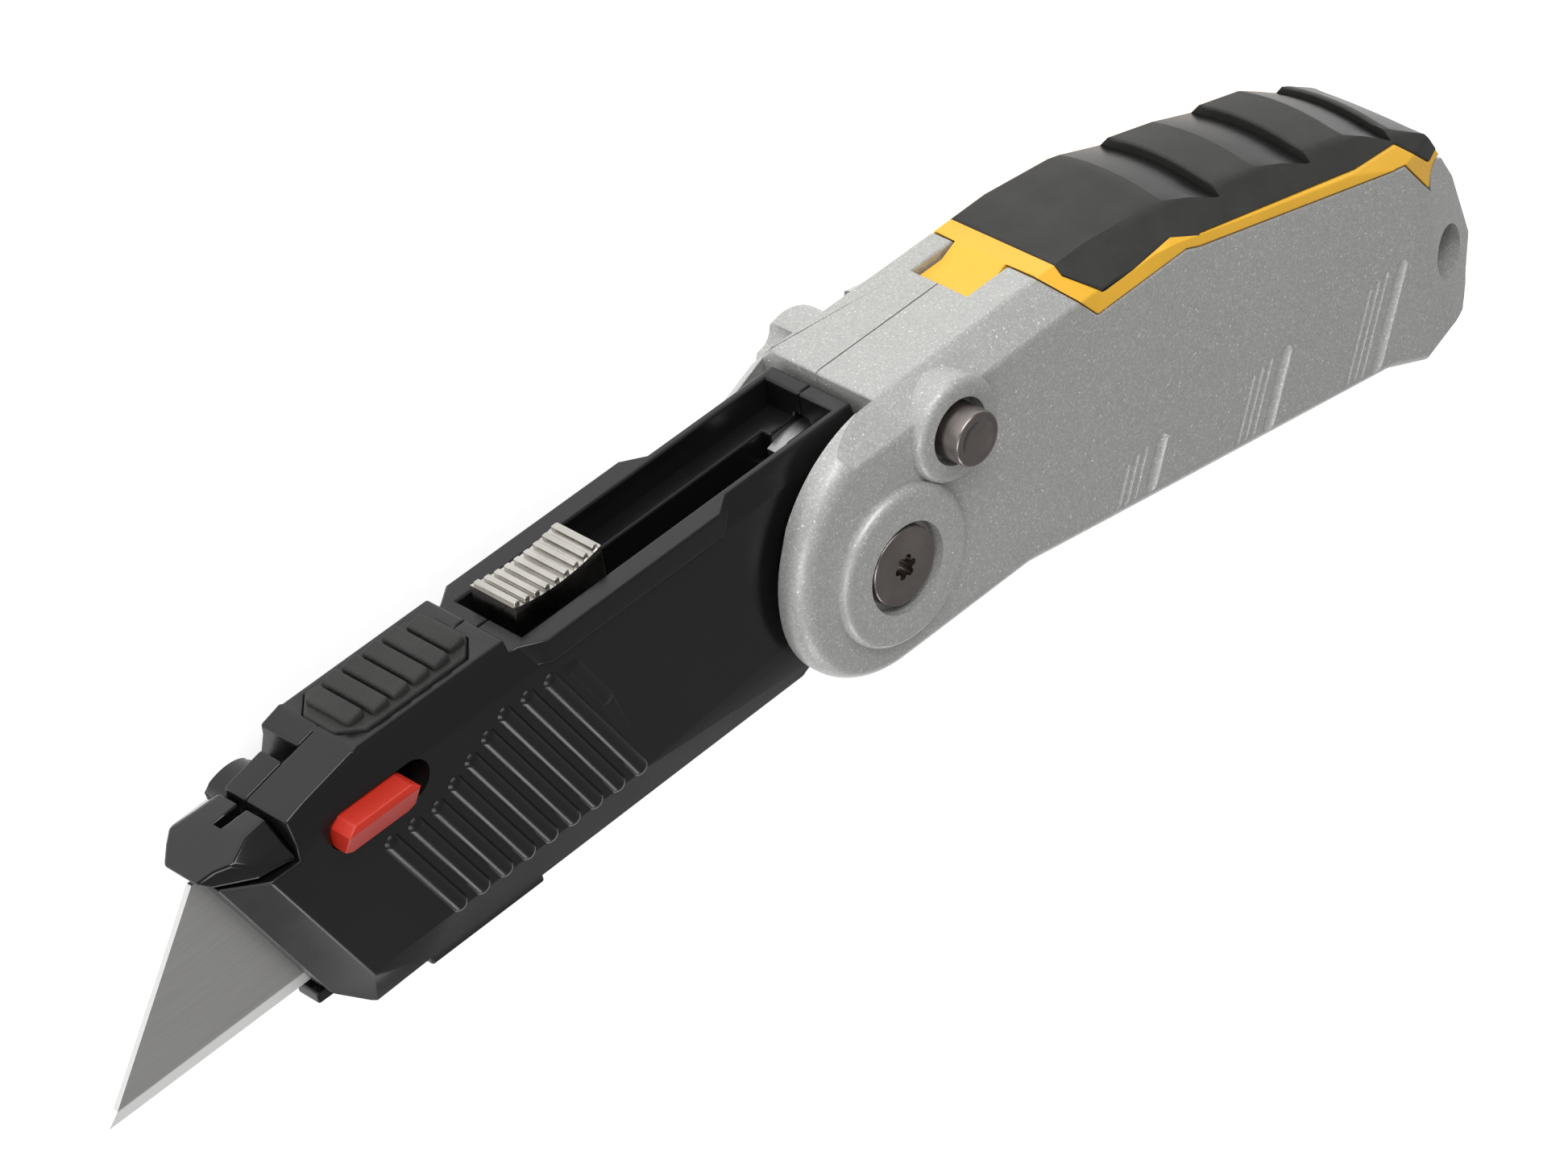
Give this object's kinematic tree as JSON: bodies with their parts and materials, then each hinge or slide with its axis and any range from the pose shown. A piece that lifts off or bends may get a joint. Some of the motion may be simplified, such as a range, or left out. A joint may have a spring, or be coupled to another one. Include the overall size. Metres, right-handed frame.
{
  "type": "utility knife",
  "caption": "Folding retractable utility knife: two-half metal handle with storage door, swinging nose with sliding trapezoid blade, lock button and slider.",
  "frame": {"origin": "centre of the footprint on the bench plane under the knife's far side", "axes": "+X from blade tip to tail of the handle, +Y from cutting edge to slider, +Z out of the lock-button side, up from the bench"},
  "size_m": [0.1818, 0.0436, 0.0258],
  "materials": {
    "silver_paint": "metal-flake paint",
    "black_gloss": "gloss black coating",
    "black_cap": "gloss",
    "yellow_plastic": "satin",
    "grip_rubber": "matte",
    "pad_rubber": "fine grain",
    "red_plastic": "satin",
    "blade_steel": "ground",
    "plated_steel": "nickel plate",
    "dark_nickel": "dark nickel",
    "steel": "turned",
    "washer_plastic": "natural",
    "carrier_zinc": "as cast"
  },
  "bodies": {
    "handle": {"handle_near": "silver_paint", "handle_far": "silver_paint", "handle_screws": "steel", "handle_pins": "steel", "spare_blades": "blade_steel", "hinge_pin": "steel", "pivot_screw": "dark_nickel", "pivot_barrel": "dark_nickel", "pivot_washers": "washer_plastic", "lock_spring": "steel"},
    "lock_button": {"lock_button": "dark_nickel"},
    "door": {"door_frame": "yellow_plastic", "door_grip": "grip_rubber"},
    "nose": {"nose_near": "black_gloss", "nose_far": "black_gloss", "nose_screws": "steel", "nose_pins": "steel", "front_cap": "black_cap", "edge_guide": "black_cap", "thumb_pad": "pad_rubber", "lock_plate": "steel"},
    "release": {"release_button": "red_plastic"},
    "carriage": {"blade_carrier": "carrier_zinc", "slider_button": "plated_steel", "slider_pin": "steel", "detent_spring": "steel", "blade": "blade_steel"}
  },
  "joints": [
    {"name": "nose_fold", "type": "hinge", "parent": "handle", "child": "nose", "pos_m": [0.0035, 0.0026, 0.0117], "axis": [0, 0, 1], "range_deg": [0, 169]},
    {"name": "blade_slide", "type": "slide", "parent": "nose", "child": "carriage", "axis": [1, 0, 0], "range_m": [0, 0.026]},
    {"name": "lock_press", "type": "slide", "parent": "handle", "child": "lock_button", "axis": [0, 0, -1], "range_m": [0, 0.002], "stiffness_N_per_m": 1500, "springref_m": -0.001, "deforming": ["lock_spring"]},
    {"name": "release_slide", "type": "slide", "parent": "nose", "child": "release", "axis": [1, 0, 0], "range_m": [0, 0.0024], "stiffness_N_per_m": 800, "springref_m": -0.001},
    {"name": "door_swing", "type": "hinge", "parent": "handle", "child": "door", "pos_m": [0.0858, -0.002, 0.0117], "axis": [0, 0, 1], "range_deg": [-70, 0]}
  ]
}
